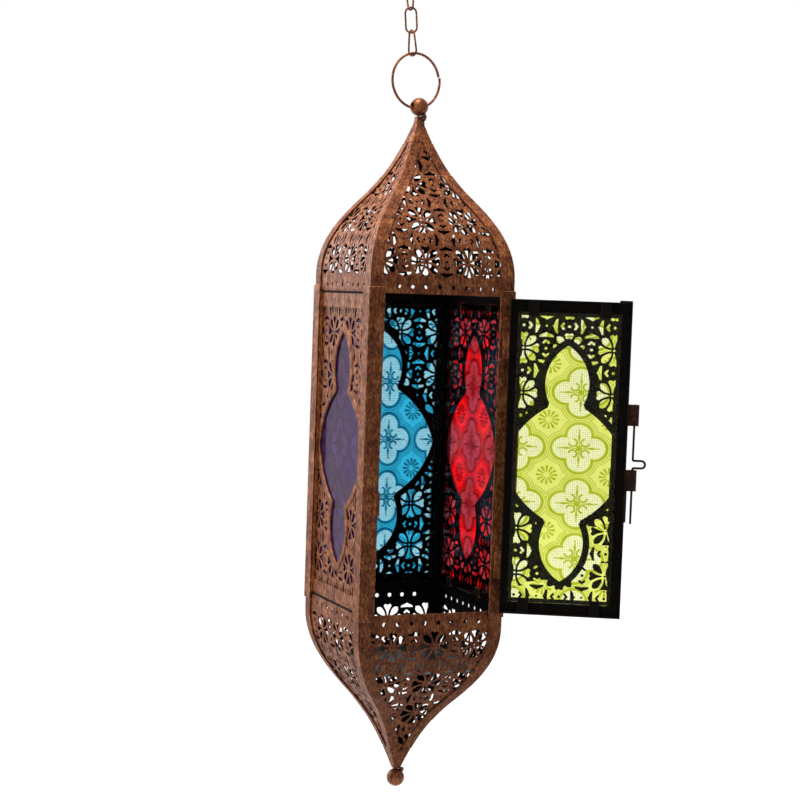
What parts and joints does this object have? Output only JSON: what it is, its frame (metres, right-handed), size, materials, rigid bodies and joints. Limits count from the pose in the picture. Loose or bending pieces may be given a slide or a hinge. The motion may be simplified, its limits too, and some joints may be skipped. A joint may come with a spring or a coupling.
{
  "type": "moroccan lantern",
  "caption": "Hanging candle lantern of pierced tin with a square glazed body, a hinged door with a sliding bolt, an ogee dome above and below, a ring, a chain and a hook.",
  "frame": {"origin": "the point under the top bend of the hook, where the lantern hangs on a nail or a bracket", "axes": "+Z plumb up, as the lantern hangs, -Y out of the side that the door closes, +X to the right of that side, where the hinges are. The rest pose is the pictured one: the door stands 152 degrees open, and its weight tips the body's upright axis 3.7 degrees to +X."},
  "size_m": [0.2154, 0.1751, 0.6624],
  "materials": {
    "aged_copper_paint": "dark brown paint with copper brushed over its edges",
    "dark_paint": "dark brown paint, worn, on the door",
    "galvanised_sheet": "dull grey zinc",
    "red_glass": "pressed relief glass, mottled red",
    "blue_glass": "pressed relief glass, cyan blue",
    "purple_glass": "pressed relief glass, violet",
    "green_glass": "pressed relief glass, lime green"
  },
  "bodies": {
    "hook": {"hanging_hook": "aged_copper_paint"},
    "link_high": {"chain_link_high": "aged_copper_paint"},
    "link_middle": {"chain_link_middle": "aged_copper_paint"},
    "link_low": {"chain_link_low": "aged_copper_paint"},
    "ring": {"hanging_ring": "aged_copper_paint"},
    "lantern": {"corner_post_front_right": "aged_copper_paint", "corner_post_back_right": "aged_copper_paint", "corner_post_back_left": "aged_copper_paint", "corner_post_front_left": "aged_copper_paint", "top_dome_panel_front": "aged_copper_paint", "top_dome_panel_right": "aged_copper_paint", "top_dome_panel_back": "aged_copper_paint", "top_dome_panel_left": "aged_copper_paint", "top_corner_strip_front_right": "aged_copper_paint", "top_corner_strip_back_right": "aged_copper_paint", "top_corner_strip_back_left": "aged_copper_paint", "top_corner_strip_front_left": "aged_copper_paint", "bottom_dome_panel_front": "aged_copper_paint", "bottom_dome_panel_right": "aged_copper_paint", "bottom_dome_panel_back": "aged_copper_paint", "bottom_dome_panel_left": "aged_copper_paint", "bottom_corner_strip_front_right": "aged_copper_paint", "bottom_corner_strip_back_right": "aged_copper_paint", "bottom_corner_strip_back_left": "aged_copper_paint", "bottom_corner_strip_front_left": "aged_copper_paint", "top_cap": "aged_copper_paint", "bottom_cap": "aged_copper_paint", "top_ball": "aged_copper_paint", "bottom_ball": "aged_copper_paint", "right_frame": "aged_copper_paint", "right_fretwork": "aged_copper_paint", "right_glass": "red_glass", "back_frame": "aged_copper_paint", "back_fretwork": "aged_copper_paint", "back_glass": "blue_glass", "left_frame": "aged_copper_paint", "left_fretwork": "aged_copper_paint", "left_glass": "purple_glass", "candle_plate": "galvanised_sheet", "upper_hinge_post_leaf": "aged_copper_paint", "lower_hinge_post_leaf": "aged_copper_paint", "upper_hinge_pin": "aged_copper_paint", "lower_hinge_pin": "aged_copper_paint", "latch_catch": "aged_copper_paint"},
    "door": {"door_frame": "dark_paint", "door_fretwork": "dark_paint", "door_glass": "green_glass", "upper_hinge_door_leaf": "aged_copper_paint", "lower_hinge_door_leaf": "aged_copper_paint", "upper_bolt_bracket": "dark_paint", "lower_bolt_bracket": "dark_paint"},
    "bolt": {"latch_bolt": "aged_copper_paint"}
  },
  "joints": [
    {"name": "chain_high_swing", "type": "hinge", "parent": "hook", "child": "link_high", "pos_m": [0.00086, 0, -0.03799], "axis": [0.9395, 0.342, 0.0213], "range_deg": [-45, 45]},
    {"name": "chain_middle_swing", "type": "hinge", "parent": "link_high", "child": "link_middle", "pos_m": [0.00125, 0, -0.05514], "axis": [0.3419, -0.9397, 0.0078], "range_deg": [-18, 18]},
    {"name": "chain_low_swing", "type": "hinge", "parent": "link_middle", "child": "link_low", "pos_m": [0.00165, 0, -0.07253], "axis": [0.9203, -0.3907, 0.0209], "range_deg": [-25, 25]},
    {"name": "ring_swing", "type": "hinge", "parent": "link_low", "child": "ring", "pos_m": [0.00204, 0, -0.08993], "axis": [0.3419, -0.9397, 0.0078], "range_deg": [-45, 45]},
    {"name": "lantern_swing", "type": "hinge", "parent": "ring", "child": "lantern", "pos_m": [0.00695, 0.00107, -0.12887], "axis": [0.9882, 0.1392, -0.0639], "range_deg": [-85, 85]},
    {"name": "door_hinge", "type": "hinge", "parent": "lantern", "child": "door", "pos_m": [0.04026, -0.06143, -0.39637], "axis": [0.0645, 0, 0.9979], "range_deg": [-152, 38]},
    {"name": "bolt_slide", "type": "slide", "parent": "door", "child": "bolt", "axis": [0.0645, 0, 0.9979], "range_m": [0, 0.025]}
  ]
}
